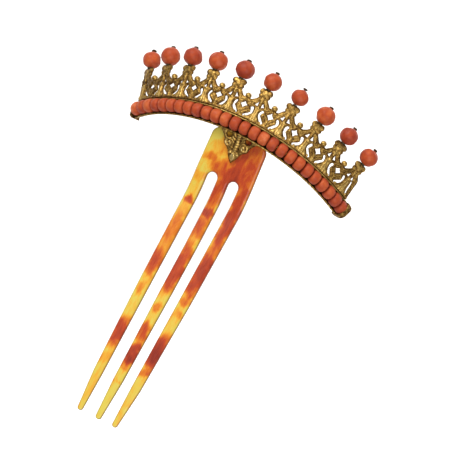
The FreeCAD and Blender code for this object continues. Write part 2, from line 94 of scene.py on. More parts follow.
def grid_faces(rows, columns, wrap=False):
    """Corner numbers of the cells of a grid of rows by columns. A wrapped grid
    joins its last column to its first."""
    across = columns if wrap else columns - 1
    row, column = np.meshgrid(np.arange(rows - 1), np.arange(across), indexing="ij")
    following = (column + 1) % columns
    corners = [row * columns + column, row * columns + following,
               (row + 1) * columns + following, (row + 1) * columns + column]
    return np.stack(corners, axis=-1).reshape(-1, 4)


def sheet_middle(z):
    """Depth and slope of the sheet's middle surface at a height: a leaning
    straight plate, then an arc of the knee's radius, then a vertical run."""
    knee_y, knee_z = KNEE_DROP * math.sin(PLATE_LEAN), -KNEE_DROP * math.cos(PLATE_LEAN)
    run = KNEE_RADIUS * math.tan(PLATE_LEAN / 2)
    arc_z = knee_z - run
    turn = np.arcsin(np.clip((z - arc_z) / KNEE_RADIUS, 0, math.sin(PLATE_LEAN)))
    arc_y = knee_y - KNEE_RADIUS * (1 - np.cos(turn))
    leaning = turn >= PLATE_LEAN - 1e-9
    return np.where(leaning, -z * math.tan(PLATE_LEAN), arc_y), turn


def outer_edge(z):
    """Half the comb's width at a height: straight tapers between a few widths,
    and a quarter circle at the plate's corners."""
    heights = np.array([-105.6, -90, -50, 0, 13.2]) * MM
    widths = np.array([8.95, 10.35, 11.55, 12.15, 11.9]) * MM
    over = np.clip(z - (PLATE_TOP - PLATE_CORNER), 0, PLATE_CORNER)
    return np.interp(z, heights, widths) - PLATE_CORNER + np.sqrt(PLATE_CORNER ** 2 - over ** 2)


def prong_edges(z, side):
    """Left and right edges of a prong: tapers between a few widths, drawn in to
    half circles at the tips and drawn out to half circles at the slots' tops."""
    heights = np.array([-105.6, -90, -50, -2.15]) * MM
    slot_part = np.clip(z / SLOT_HALF + 1, 0, 1)
    spread = SLOT_HALF * (1 - np.sqrt(1 - slot_part ** 2))
    tip_part = np.clip((TIP_Z + TIP_ROUND - z) / TIP_ROUND, 0, 1)
    drawn_in = np.sqrt(1 - tip_part ** 2)
    if side == 0:
        half = (np.interp(z, heights, np.array([1.3, 2.05, 2.5, 2.52]) * MM) + spread) * drawn_in
        off_middle = np.interp(z, [-30 * MM, -2.15 * MM], [0.4 * MM, 0])
        return off_middle - half, off_middle + half
    inner = np.interp(z, heights, np.array([6.5, 6.3, 6.55, 6.82]) * MM) - spread
    outer = outer_edge(z)
    center, half = (inner + outer) / 2, (outer - inner) / 2 * drawn_in
    return (center - half, center + half) if side > 0 else (-center - half, -center + half)


def edge_distance(x, z, low, high):
    """Distance from the nearest sawn edge: the outline's side, the plate's top,
    and the round tops of the two slots."""
    side = np.minimum(x - low, high - x)
    slot = np.full_like(x, 1.0)
    for center in (-SLOT_CENTER, SLOT_CENTER):
        near = np.hypot(x - center, np.maximum(z + SLOT_HALF, 0)) - SLOT_HALF
        slot = np.minimum(slot, np.where(z > -SLOT_HALF, near, 1.0))
    return np.clip(np.minimum(np.minimum(side, slot), PLATE_TOP - z), 0, None)


def shell_skin(z, low, high, columns, sawn=None):
    """Front and back of a strip of the sheet between two edges. Its thickness
    follows a quarter ellipse from nothing at a sawn edge to full thickness, and
    the tips grow thinner over their last stretch. The sawn edges are the strip's
    own, unless it is a part of a wider plate."""
    sawn_low, sawn_high = sawn or (low, high)
    across = (1 - np.cos(np.linspace(0, math.pi, columns))) / 2
    x = low[:, None] + (high - low)[:, None] * across
    heights = np.broadcast_to(z[:, None], x.shape)
    edge = edge_distance(x, heights, sawn_low[:, None], sawn_high[:, None])
    near = np.clip(edge / EDGE_ROUNDING, 0, 1)
    thinning = np.interp(heights, [TIP_Z, THINNING_START], [TIP_THINNESS, 1.0])
    half = SHEET_THICKNESS / 2 * thinning * np.sqrt(1 - (1 - near) ** 2)
    y, turn = sheet_middle(heights)
    out_y, out_z = half * np.cos(turn), half * np.sin(turn)
    return [np.stack([x, y + facing * out_y, heights + facing * out_z, near], -1) for facing in (-1, 1)]


def shell_pieces():
    """All strips of the comb: three prongs, and the plate above them in three
    parts whose columns carry on from the prongs' own."""
    count = 17
    quarter = np.linspace(0, math.pi / 2, 14)
    slot_part = -SLOT_HALF * (1 - np.cos(quarter))
    straight = np.linspace(-SLOT_HALF, TIP_Z + TIP_ROUND, 110)
    tip_part = TIP_Z + TIP_ROUND * (1 - np.sin(quarter))
    prong_z = np.concatenate([slot_part, straight[1:], tip_part[1:]])
    skins = []
    for side in (-1, 0, 1):
        low, high = prong_edges(prong_z, side)
        skins += shell_skin(prong_z, low, high, count)
    corner_part = PLATE_TOP - PLATE_CORNER * (1 - np.sin(quarter))
    plate_z = np.concatenate([np.linspace(0, PLATE_TOP - PLATE_CORNER, 34), corner_part[1:]])
    half = outer_edge(plate_z)
    split = SLOT_CENTER + (half / 3 - SLOT_CENTER) * plate_z / PLATE_TOP
    for low, high in ((-half, -split), (-split, split), (split, half)):
        skins += shell_skin(plate_z, low, high, count, (-half, half))
    return skins


# Brown clouds in the sheet: place across and up, reach across and up (in
# millimetres), and how much brown each one adds to the honey ground.
CLOUDS = [
    (5.8, 8.0, 9.0, 13.0, 0.56), (3.0, 0.0, 5.0, 7.0, 0.7), (-7.0, 4.6, 5.0, 1.9, 0.36),
    (-2.5, 2.0, 4.2, 4.2, 0.56), (-9.3, -3.5, 3.0, 2.2, 0.22), (-8.6, -13.9, 2.3, 1.8, 0.6),
    (-9.2, -27.0, 3.4, 8.2, 0.42), (-9.2, -41.5, 3.4, 7.2, 0.58), (-9.0, -53.0, 1.7, 4.2, 0.35),
    (-8.6, -72.5, 3.2, 7.5, 0.72), (-8.3, -83.7, 3.0, 2.8, 0.25), (0.0, -6.0, 3.2, 8.5, 0.52),
    (0.0, -15.0, 3.2, 2.3, 0.7), (0.0, -22.0, 3.2, 6.0, 0.5), (0.0, -39.5, 3.2, 13.0, 0.66),
    (0.0, -57.0, 1.8, 2.3, 0.42), (0.0, -68.5, 3.2, 4.5, 0.56), (0.0, -78.0, 3.2, 5.0, 0.86),
    (0.0, -84.0, 3.0, 1.4, 0.35), (0.3, -90.5, 2.5, 0.4, 0.4), (9.6, -13.0, 2.9, 17.0, 0.68),
    (9.3, -38.0, 3.4, 11.7, 0.7), (9.2, -50.6, 3.0, 1.9, 0.42), (9.5, -56.3, 2.4, 2.2, 0.28),
    (8.9, -73.0, 3.2, 8.0, 0.8), (8.5, -82.6, 3.0, 2.0, 0.4), (-5.4, 9.0, 3.6, 6.0, 0.24),
    (-9.4, -20.0, 3.0, 5.0, 0.2), (-9.4, -34.0, 3.2, 19.0, 0.34), (0.0, -50.0, 2.8, 3.0, 0.2),
    (9.5, -30.0, 3.0, 20.0, 0.4),
]


def brownness(points):
    """How brown the shell is at each point: the deepest of the clouds there,
    each one round with a soft edge, after waves have bent their outlines."""
    x, z = points[:, 0] / MM, points[:, 2] / MM
    x = x + 0.5 * np.sin(z * 0.8) + 0.2 * np.sin(z * 2.3 + 1)
    z = z + 0.6 * np.sin(x * 1.1 + z * 0.3) + 0.2 * np.sin(x * 2.9)
    total = np.full(len(points), 0.05)
    for across, up, wide, tall, depth in CLOUDS:
        away = ((x - across) / wide) ** 2 + ((z - up) / tall) ** 2
        total = np.maximum(total, depth * np.exp(-away ** 2.5))
    return total


def node(tree, kind, inputs=None, **settings):
    """A shader node with its settings made, and each input linked or set."""
    made = tree.nodes.new(kind)
    for key, value in settings.items():
        setattr(made, key, value)
    for key, value in (inputs or {}).items():
        if isinstance(value, bpy.types.NodeSocket):
            tree.links.new(value, made.inputs[key])
        else:
            made.inputs[key].default_value = value
    return made


def ramp(tree, factor, stops):
    """Colours blended along a factor, from pairs of place and colour."""
    made = node(tree, "ShaderNodeValToRGB", {"Fac": factor})
    elements = made.color_ramp.elements
    while len(elements) < len(stops):
        elements.new(0.5)
    for element, (place, color) in zip(elements, stops):
        element.position = place
        element.color = (*color, 1)
    return made.outputs["Color"]


def mixed(tree, factor, first, second):
    """Two colours mixed by a factor."""
    made = node(tree, "ShaderNodeMix", data_type="RGBA")
    for socket, value in zip((made.inputs[0], made.inputs[6], made.inputs[7]), (factor, first, second)):
        if isinstance(value, bpy.types.NodeSocket):
            tree.links.new(value, socket)
        else:
            socket.default_value = value if isinstance(value, float) else (*value, 1)
    return made.outputs[2]


def maths(tree, operation, *values, clamp=False):
    """A Math node on numbers or sockets."""
    made = node(tree, "ShaderNodeMath", operation=operation, use_clamp=clamp)
    for index, value in enumerate(values):
        if isinstance(value, bpy.types.NodeSocket):
            tree.links.new(value, made.inputs[index])
        else:
            made.inputs[index].default_value = value
    return made.outputs[0]


def new_material(name):
    """An empty material with no nodes, ready for its shader and output."""
    material = bpy.data.materials.new(name)
    material.use_nodes = True
    material.node_tree.nodes.clear()
    return material, material.node_tree


def finish_material(tree, **inputs):
    """A Principled shader with the given inputs, linked to the output."""
    named = {key.replace("_", " "): value for key, value in inputs.items()}
    shader = node(tree, "ShaderNodeBsdfPrincipled", named)
    output = node(tree, "ShaderNodeOutputMaterial")
    tree.links.new(shader.outputs[0], output.inputs["Surface"])


def cloudy(tree, place, scale, detail=3.0, roughness=0.55, distortion=0.0):
    """Soft noise between nought and one over a place, at a scale per metre."""
    return node(tree, "ShaderNodeTexNoise", {
        "Vector": place, "Scale": scale, "Detail": detail, "Roughness": roughness, "Distortion": distortion,
    }).outputs["Fac"]


def mottled_shell():
    """Honey shell clouded with red brown: stored clouds blurred by noise that is
    drawn out along the comb, under a deep polish with fine rubbing marks."""
    material, tree = new_material("mottled_shell")
    place = node(tree, "ShaderNodeTexCoord").outputs["Object"]
    drawn = node(tree, "ShaderNodeMapping", {"Vector": place, "Scale": (1.6, 1.0, 0.45)}).outputs[0]
    wide = cloudy(tree, drawn, 210.0, 4.0, 0.6, 0.8)
    fine = cloudy(tree, drawn, 620.0, 3.0, 0.6, 0.3)
    stored = node(tree, "ShaderNodeAttribute", attribute_name="brown").outputs["Fac"]
    shifted = maths(tree, "MULTIPLY_ADD", maths(tree, "SUBTRACT", wide, 0.5), 0.8, stored)
    shifted = maths(tree, "MULTIPLY_ADD", maths(tree, "SUBTRACT", fine, 0.5), 0.22, shifted, clamp=True)
    color = ramp(tree, shifted, [
        (0.0, (0.46, 0.36, 0.055)), (0.17, (0.52, 0.26, 0.024)), (0.38, (0.45, 0.120, 0.010)),
        (0.6, (0.32, 0.040, 0.010)), (0.9, (0.17, 0.018, 0.009)),
    ])
    # Painted shade: near the sawn edges, where the rounded edge thins, the colour is mixed towards dark
    # brown.
    edge = node(tree, "ShaderNodeAttribute", attribute_name="edge").outputs["Fac"]
    color = mixed(tree, ramp(tree, edge, [(0.05, (0.85, 0.85, 0.85)), (0.36, (0.0, 0.0, 0.0))]),
                  color, (0.10, 0.032, 0.008))
    marks = node(tree, "ShaderNodeMapping", {"Vector": place, "Scale": (1.0, 1.0, 0.06)}).outputs[0]
    rubbing = cloudy(tree, marks, 5200.0, 2.0, 0.6)
    roughness = maths(tree, "MULTIPLY_ADD", rubbing, 0.16, 0.20)
    bump = node(tree, "ShaderNodeBump", {"Height": rubbing, "Strength": 0.06, "Distance": 0.0002})
    finish_material(tree, Base_Color=color, Roughness=roughness, Normal=bump.outputs[0],
                    Coat_Weight=0.12, Coat_Roughness=0.08, IOR=1.5, Specular_IOR_Level=0.15)
    return material


def shell_comb():
    """The whole comb, with its brown clouds stored at its points."""
    skins = shell_pieces()
    points, faces, start = [], [], 0
    for skin in skins:
        rows, columns = skin.shape[:2]
        points.append(skin.reshape(-1, 4))
        faces.append(grid_faces(rows, columns) + start)
        start += rows * columns
    points = np.concatenate(points)
    points, edge = points[:, :3], points[:, 3]
    piece = make_piece("mottled_shell_comb", points, np.concatenate(faces),
                       {"brown": brownness(points), "edge": edge})
    piece.data.materials.append(mottled_shell())
    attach(piece, "comb")
    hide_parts("shell_comb")


shell_comb()


# ---------------------------------------------------------------------------
# Gilt metal. All of the comb's brass is stamped or cast, filed, gilt and rubbed:
# champagne gold where it rubs, olive in the hollows, dark where dirt has stayed.
# The colour also holds painted light: a painted highlight on the ridges and painted
# shade in the hollows.
# ---------------------------------------------------------------------------

def worn_gilding_with_painted_light():
    """Group: colour, roughness and bump height of rubbed gilding, from a place,
    a number that is one on ridges and nought in hollows, and how patchy it is.
    Its colour is partly wear and dirt and partly painted light: painted shade in
    the hollows and a painted highlight on the ridges."""
    group = bpy.data.node_groups.new("worn_gilding_with_painted_light", "ShaderNodeTree")
    group.interface.new_socket("Place", in_out="INPUT", socket_type="NodeSocketVector")
    group.interface.new_socket("Ridge", in_out="INPUT", socket_type="NodeSocketFloat")
    group.interface.new_socket("Patchiness", in_out="INPUT", socket_type="NodeSocketFloat")
    group.interface.new_socket("Color", in_out="OUTPUT", socket_type="NodeSocketColor")
    group.interface.new_socket("Roughness", in_out="OUTPUT", socket_type="NodeSocketFloat")
    group.interface.new_socket("Height", in_out="OUTPUT", socket_type="NodeSocketFloat")
    given = node(group, "NodeGroupInput").outputs
    patches = cloudy(group, given["Place"], 900.0, 4.0, 0.65)
    grain = cloudy(group, given["Place"], 2600.0, 3.0, 0.6)
    shifted = maths(group, "MULTIPLY_ADD", maths(group, "SUBTRACT", patches, 0.56),
                    given["Patchiness"], given["Ridge"])
    shifted = maths(group, "MULTIPLY_ADD", maths(group, "SUBTRACT", grain, 0.5), 0.75, shifted, clamp=True)
    # Near black in hollows to champagne on ridges: dirt and rubbed wear, and also painted shade in the
    # hollows and a painted highlight on the ridges.
    color = ramp(group, shifted, [
        (0.0, (0.045, 0.020, 0.006)), (0.25, (0.16, 0.085, 0.020)), (0.5, (0.35, 0.215, 0.055)),
        (0.75, (0.50, 0.34, 0.105)), (1.0, (0.70, 0.55, 0.27)),
    ])
    roughness = maths(group, "MULTIPLY_ADD", shifted, -0.22, 0.58)
    height = maths(group, "MULTIPLY_ADD", grain, 0.5, patches)
    output = node(group, "NodeGroupOutput")
    for name, socket in (("Color", color), ("Roughness", roughness), ("Height", height)):
        group.links.new(socket, output.inputs[name])
    return group


gilding = worn_gilding_with_painted_light()


def gilt_brass(name, patchiness, ridge=None):
    """Gilt brass. The ridge number is stored at the piece's points, or is one
    number for plain pieces."""
    material, tree = new_material(name)
    place = node(tree, "ShaderNodeTexCoord").outputs["Object"]
    # This group's colour carries painted shade in hollows and a painted highlight on ridges, besides wear.
    rubbed = node(tree, "ShaderNodeGroup")
    rubbed.node_tree = gilding
    tree.links.new(place, rubbed.inputs["Place"])
    if ridge is None:
        stored = node(tree, "ShaderNodeAttribute", attribute_name="ridge").outputs["Fac"]
        tree.links.new(stored, rubbed.inputs["Ridge"])
    else:
        rubbed.inputs["Ridge"].default_value = ridge
    rubbed.inputs["Patchiness"].default_value = patchiness
    bump = node(tree, "ShaderNodeBump", {
        "Height": rubbed.outputs["Height"], "Strength": 0.35, "Distance": 0.0001,
    })
    finish_material(tree, Base_Color=rubbed.outputs["Color"], Roughness=rubbed.outputs["Roughness"],
                    Metallic=1.0, Normal=bump.outputs[0])
    return material


ornament_gilt = gilt_brass("ornament_gilt", 1.35)
plain_gilt = gilt_brass("plain_gilt", 0.6, 0.48)


# ---------------------------------------------------------------------------
# Hinge. A leaf riveted to the back of the plate, a leaf soldered to the gallery,
# three knuckles and a headed pin, all of gilt brass with softened edges.
# ---------------------------------------------------------------------------

for name in ("comb_hinge_plate", "gallery_hinge_plate", "comb_rivets", "hinge_pin", "bead_wire"):
    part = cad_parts[name]
    part.data.materials.clear()
    part.data.materials.append(plain_gilt)
    softened = part.modifiers.new("softened_edges", "BEVEL")
    softened.width = 0.08 * MM
    softened.segments = 2
    softened.limit_method = "ANGLE"


# ---------------------------------------------------------------------------
# Channel. A strip of gilt brass bent to a deep open channel and curved to the
# head, with a rolled upper lip and a lower lip dressed in shallow scallops
# between the beads. A bigger stop closes one end and a small tab the other.
# ---------------------------------------------------------------------------

BEAD_LINE_RADIUS = 57.8 * MM
BEAD_LINE_FORWARD = 12.9 * MM
GALLERY_OFFSET = -1.2 * MM
BEAD_LINE_HEIGHT = 18.6 * MM
FLARE = math.radians(19.57)
CHANNEL_HALF_ARC = math.radians(54.55)
BEAD_PITCH = math.radians(4.18)


def on_gallery(angle, height, outward):
    """Points on the gallery's cone: at an angle round it, a height up its flare
    from the bead line, and a distance out from its surface."""
    radius = BEAD_LINE_RADIUS + height * math.sin(FLARE) + outward * math.cos(FLARE)
    rise = height * math.cos(FLARE) - outward * math.sin(FLARE)
    depth = BEAD_LINE_RADIUS - radius * np.cos(angle)
    y = depth * math.cos(FLARE) + rise * math.sin(FLARE) - BEAD_LINE_FORWARD
    z = rise * math.cos(FLARE) - depth * math.sin(FLARE) + BEAD_LINE_HEIGHT
    x = GALLERY_OFFSET + radius * np.sin(angle)
    return np.stack(np.broadcast_arrays(x, y, z), axis=-1)


def swept_bar(name, angles, outer, inner, material):
    """A bar along the gallery. Outer and inner are paths of (height, outward) for
    each angle, and the bar is the metal between them, closed at both ends."""
    path = np.concatenate([outer, inner[:, ::-1]], axis=1)
    points = on_gallery(angles[:, None], path[..., 0], path[..., 1])
    rows, columns = points.shape[:2]
    half = columns // 2
    step = np.arange(half - 1)
    closing = np.stack([step, step + 1, columns - 2 - step, columns - 1 - step], axis=-1)
    last = closing + (rows - 1) * columns
    faces = np.concatenate([grid_faces(rows, columns, wrap=True), closing, last])
    # Painted shade: the ridge number, and so the gilt colour, falls the further back the metal lies, so the
    # channel is painted darker inside and behind and lighter at its lips.
    ridge = np.clip(0.56 + (path[..., 1] / MM + 0.6) * 0.16, 0.2, 0.7)
    piece = make_piece(name, points, faces, {"ridge": ridge})
    piece.data.materials.append(material)
    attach(piece, "gallery")
    return piece


def channel_paths(angles):
    """Outer and inner path of the channel's section at each angle: a back with
    rounded corners, and lips that end in half-round beads."""
    turn = np.linspace(0, math.pi / 2, 6)
    lip = np.linspace(0, math.pi, 9)
    bead = 0.33 * MM
    wall, back, reach = 3.4 * MM, 3.4 * MM, -0.6 * MM
    corner = 2.5 * MM

    def half_path(depth, rounding):
        """A quarter circle from the back to the upper wall."""
        return np.array([(depth - rounding + rounding * np.sin(t),
                          -depth + rounding - rounding * np.cos(t)) for t in turn])

    outer_top, inner_top = half_path(wall, corner), half_path(wall - 0.5 * MM, corner - 0.45 * MM)
    outer_lip = [(wall - bead + bead * np.cos(t) + 0.05 * MM, reach + bead * np.sin(t)) for t in lip[:5]]
    inner_lip = [(wall - bead + bead * np.cos(t) + 0.05 * MM, reach + bead * np.sin(t)) for t in lip[:3:-1]]
    outer_half = np.concatenate([[(0, -back)], outer_top, outer_lip])
    inner_half = np.concatenate([[(0, 0.5 * MM - back)], inner_top, inner_lip])
    outer = np.concatenate([outer_half[::-1] * (-1, 1), outer_half[1:]])
    inner = np.concatenate([inner_half[::-1] * (-1, 1), inner_half[1:]])
    low_reach = 0.5 * MM
    scallop = low_reach + 0.22 * MM * np.cos(angles / BEAD_PITCH * 2 * math.pi) ** 2
    result = []
    for path in (outer, inner):
        many = np.repeat(path[None], len(angles), axis=0)
        low_lip = (many[..., 0] < 0) & (many[..., 1] > -0.8 * MM)
        many[..., 1] -= low_lip * scallop[:, None]
        result.append(many)
    return result


channel_angles = np.linspace(-CHANNEL_HALF_ARC, CHANNEL_HALF_ARC, 420)
outer_path, inner_path = channel_paths(channel_angles)
channel = swept_bar("coral_channel", channel_angles, outer_path, inner_path, ornament_gilt)
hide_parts("bead_channel")


def end_stop(name, nodes, side, span, outline):
    """A flat stop across one end of the channel, from its outline in height and
    outward reach, with its edges eased. The span is where its rings stand, in
    degrees past the channel's end."""
    turns = (np.radians(span) + CHANNEL_HALF_ARC) * side
    outline = np.array(outline) * MM
    middle = outline.mean(axis=0)
    rows = []
    for angle, share in zip(turns, (0.86, 0.96, 1.0, 1.0, 0.95, 0.82)):
        eased = middle + (outline - middle) * share
        rows.append(on_gallery(angle, eased[:, 0], eased[:, 1]))
    center = [np.repeat(on_gallery(turns[k], middle[0], middle[1])[None], len(outline), axis=0)
              for k in (0, -1)]
    points = np.stack([center[0], *rows, center[1]])
    count = len(outline)
    piece = make_piece(name, points, grid_faces(8, count, wrap=True),
                       {"ridge": np.full(points.shape[:2], 0.28)}, smooth=False)
    piece.data.materials.append(ornament_gilt)
    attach(piece, "gallery")
    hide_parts(nodes)


end_stop("right_stop", "end_cap", 1, [-1.5, -1.4, -1.1, 0.3, 0.7, 0.92], [
    (3.4, -3.3), (3.5, -0.6), (3.4, 0.9), (2.8, 2.1), (1.5, 2.8), (-1.5, 2.8), (-2.8, 2.1), (-3.4, 0.9),
    (-3.5, -0.6), (-3.4, -3.3)])
end_stop("left_tab", "end_tab", -1, [0.07, 0.14, 0.3, 0.7, 0.88, 0.95], [
    (1.45, -3.3), (1.45, 0.7), (1.0, 1.2), (-2.7, 1.2), (-3.4, 0.2), (-3.4, -3.3)])


# ---------------------------------------------------------------------------
# Coral beads. Twenty-six drilled barrels of coral strung on a brass wire, cut
# and rubbed by hand, so that no two are quite the same length, girth or red.
# ---------------------------------------------------------------------------

random = np.random.default_rng(7)


def coral(name):
    """Polished coral: brick to salmon by the piece's stored tone, clouded a
    little, with faint growth lines and small pits. On the beads the stored
    tone also carries painted light: lighter on the outward face, darker at the ends."""
    material, tree = new_material(name)
    place = node(tree, "ShaderNodeTexCoord").outputs["Object"]
    tone = node(tree, "ShaderNodeAttribute", attribute_name="tone").outputs["Fac"]
    cloud = cloudy(tree, place, 380.0, 3.0, 0.55)
    lines = cloudy(tree, place, 1500.0, 4.0, 0.6, 0.8)
    shifted = maths(tree, "MULTIPLY_ADD", maths(tree, "SUBTRACT", cloud, 0.5), 0.8, tone)
    shifted = maths(tree, "MULTIPLY_ADD", maths(tree, "SUBTRACT", lines, 0.5), 0.25, shifted, clamp=True)
    color = ramp(tree, shifted, [
        (0.0, (0.11, 0.012, 0.006)), (0.3, (0.21, 0.026, 0.010)), (0.6, (0.30, 0.046, 0.012)),
        (0.85, (0.38, 0.080, 0.022)), (1.0, (0.48, 0.15, 0.065)),
    ])
    pits = maths(tree, "SMOOTH_MIN", lines, 0.42, 0.1)
    roughness = maths(tree, "MULTIPLY_ADD", lines, 0.3, 0.36)
    bump = node(tree, "ShaderNodeBump", {"Height": pits, "Strength": 0.25, "Distance": 0.00015})
    finish_material(tree, Base_Color=color, Roughness=roughness, Normal=bump.outputs[0],
                    Coat_Weight=0.03, Coat_Roughness=0.2, IOR=1.45,
                    Specular_IOR_Level=0.15)
    return material


bead_coral = coral("bead_coral")


def bead_surface(length, girth, facets):
    """A barrel along the gallery: girth follows a flattened sine from hole to
    hole, with a few shallow planes rubbed round it."""
    along, round_ = np.meshgrid(
        np.linspace(0, math.pi, 21), np.linspace(0, 2 * math.pi, 33)[:-1], indexing="ij")
    flat = np.sin(along) ** 0.42
    planes = 1 - 0.025 * np.abs(np.cos(round_ * facets[0] + facets[1]))
    planes = planes - 0.015 * np.cos(round_ + facets[2]) ** 2
    radius = girth * flat * planes
    reach = np.sign(np.cos(along)) * np.abs(np.cos(along)) ** 0.8 * length / 2
    return reach, radius * np.cos(round_), radius * np.sin(round_)


for index in range(26):
    length = (4.12 + random.uniform(-0.2, 0.1)) * MM
    girth = 2.85 * MM * random.uniform(0.96, 1.01)
    facets = random.uniform((2.5, 0, 0), (4.0, 6, 6)).round(2)
    facets[0] = round(facets[0])
    middle = (index - 12.5) * BEAD_PITCH + random.uniform(-0.05, 0.05) * MM / BEAD_LINE_RADIUS
    reach, height, outward = bead_surface(length, girth, facets)
    points = on_gallery(middle + reach / BEAD_LINE_RADIUS, height, outward)
    tone = np.full(reach.shape, random.choice([0.32, 0.38, 0.44, 0.50, 0.56]) + random.uniform(-0.06, 0.06))
    # Painted light in the stored tone: raised on each bead's outward face as a painted highlight, and lowered
    # towards both ends as painted shade in the gaps between beads.
    ends = np.clip(np.abs(reach) / length * 2 - 0.72, 0, 1)
    tone = tone + 0.25 * np.clip(outward / girth, 0, 1) - 0.55 * ends
    faces = grid_faces(*reach.shape, wrap=True)
    bead = make_piece(f"coral_barrel_{index + 1:02d}", points, faces, {"tone": tone})
    bead.data.materials.append(bead_coral)
    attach(bead, "gallery")
    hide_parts(f"bead_{index + 1:02d}")


# ---------------------------------------------------------------------------
# Pierced strip. Gilt brass cast flat with a row of ten spires, S-shaped openings
# and diamond eyes, granules over the eyes, then curved and soldered along the
# channel's top. Its bars are half round and its leaves are ridged.
# ---------------------------------------------------------------------------

STRIP_FOOT = 3.45 * MM
STRIP_BACK = -0.75 * MM
SPIRE_PITCH = math.radians(10.9)
STRIP_TURN = math.radians(-2.7)
STRIP_RADIUS = 59.5 * MM
HALF_BAY = 5.66
POST_REACH = math.radians(3.3)
GRAIN_HEIGHT, GRAIN_SET = 8.9 * MM, -0.25 * MM
RIGHT_POST_EXTRA = math.radians(1.9)
CROWN_DULLING = 0.25
LEFT_POST_INSET, LEFT_POST_SLANT, RIGHT_POST_SLANT = 1.9, 0.12, 0.2


def polygon_inside(x, y, corners):
    """Signed distance to a polygon, positive inside: the nearest edge's distance,
    signed by an even-odd count of crossings."""
    corners = np.array(corners, float)
    nearest = np.full(x.shape, np.inf)
    inside = np.zeros(x.shape, bool)
    for (ax, ay), (bx, by) in zip(corners, np.roll(corners, -1, axis=0)):
        ex, ey = bx - ax, by - ay
        share = np.clip(((x - ax) * ex + (y - ay) * ey) / (ex * ex + ey * ey), 0, 1)
        nearest = np.minimum(nearest, np.hypot(x - ax - share * ex, y - ay - share * ey))
        if ay != by:
            crossing = ((ay > y) != (by > y)) & (x < ax + (y - ay) * ex / ey)
            inside ^= crossing
    return np.where(inside, nearest, -nearest)


def stroke_inside(x, y, path, radius):
    """Signed distance to a line drawn with a round pen, positive inside."""
    nearest = np.full(x.shape, np.inf)
    for (ax, ay), (bx, by) in zip(path, path[1:]):
        ex, ey = bx - ax, by - ay
        share = np.clip(((x - ax) * ex + (y - ay) * ey) / (ex * ex + ey * ey), 0, 1)
        nearest = np.minimum(nearest, np.hypot(x - ax - share * ex, y - ay - share * ey))
    return radius - nearest


def dome(x, y, spot, radius, height):
    """A round boss: a half ellipse's height over its disc."""
    away = np.hypot(x - spot[0], y - spot[1]) / radius
    return height * np.sqrt(np.clip(1 - away ** 2, 0, 1))


def strip_pattern(across, up, end_side):
    """Signed distance inside the metal, in millimetres, at places across from the
    nearest spire and up from the strip's foot. End sides have a plain post."""
    x = np.abs(across)
    spire = [(-2, 14.1), (1.2, 14.1), (1.8, 12.6), (1.9, 11.3), (1.95, 10.5), (2.2, 10.0), (3.0, 9.1),
             (3.8, 8.3), (4.5, 8.15), (4.85, 8.5), (9, 8.3), (9, -1), (-2, -1)]
    metal = polygon_inside(x, up, spire)
    for spot in ((1.45, 12.95, 1.25), (1.35, 11.2, 1.0)):
        metal = np.maximum(metal, spot[2] - np.hypot(x - spot[0], up - spot[1]))
    curl = np.maximum(0.5 - np.hypot(x - 2.72, up - 3.7), 0.42 - np.hypot(x - 3.3, up - 1.1))
    s_path = [(2.25, 5.35), (1.9, 4.7), (1.82, 4.0), (2.0, 3.2), (2.6, 2.4), (3.3, 1.75), (3.75, 1.3)]
    gap = stroke_inside(x, up, s_path, 0.5)
    post_gap = stroke_inside(across, up, [(2.1, 5.9), (2.35, 4.6), (2.8, 3.0), (3.2, 1.7)], 0.42)
    away = HALF_BAY - x
    eye_edge = [(-1.6, 0), (-0.85, 0.55), (-0.3, 1.1), (0, 1.95), (0.3, 1.1), (0.85, 0.55), (1.6, 0),
                (0.85, -0.55), (0.3, -1.1), (0, -1.95), (-0.3, -1.1), (-0.85, -0.55)]
    eye = polygon_inside(away, up - 5.25, eye_edge) - 0.08
    leg = polygon_inside(x, up, [(0.7, 6.5), (2.1, 6.9), (1.4, 7.7), (0.8, 8.8)]) - 0.05
    gap = np.where(end_side, post_gap, np.maximum(np.minimum(gap, -curl), eye))
    return np.minimum(metal, -np.maximum(gap, leg))


def chased_lines(inside):
    """Lines cut along the bars' edges: a wave of the distance from the edge that
    starts at a rim and fades out towards wide parts' middles."""
    return np.cos((inside - 0.18) * 2 * math.pi / 0.64) * np.clip(2.2 - inside, 0, 1) * (inside > 0)


# Round bosses on the strip: place across and up, radius and rise, in millimetres.
# The first three make the crown; the others sit on the fleuron, scrolls and arms.
BOSSES = [
    ((0, 12.2), 1.7, 0.4), ((1.5, 12.9), 1.35, 0.3), ((1.35, 11.0), 1.1, 0.22),
    ((0, 6.1), 0.75, 0.4), ((2.72, 3.75), 0.5, 0.25), ((3.3, 1.1), 0.5, 0.3),
    ((1.5, 1.25), 0.55, 0.3), ((4.4, 7.2), 0.5, 0.2), ((2.4, 8.6), 0.4, 0.1),
]


def strip_relief(across, up, inside):
    """Height of the front above the strip's back, in millimetres: half-round
    bars, ridged leaves, bosses on the crowns and a round rail at the foot."""
    x = np.abs(across)
    bar = np.sqrt(1 - (1 - np.clip(inside / 0.7, 0, 1)) ** 2)
    height = 0.3 + 0.55 * bar + 0.06 * chased_lines(inside)
    leaf = np.clip(1 - x / (1.25 + 1.6 * np.clip(1 - up / 3.2, 0, 1)), 0, 1) * np.clip((6.4 - up) / 2, 0, 1)
    height += 0.34 * leaf ** 0.8 * (1 - 0.35 * np.cos(x * 5.2) * (up < 5.5))
    height += 0.22 * np.exp(-((HALF_BAY - x) / 0.32) ** 2) * (up < 3.6)
    height += 0.2 * np.exp(-(x / 0.35) ** 2) * (up > 8)
    for spot, radius, rise in BOSSES:
        bead = dome(x, up, spot, radius, rise + 0.2)
        height = np.maximum(height, 0.62 + bead * (bead > 0))
    rail = np.clip(1 - ((up - 0.42) / 0.45) ** 2, 0, 1)
    return np.maximum(height, 0.5 + 0.42 * np.sqrt(rail))


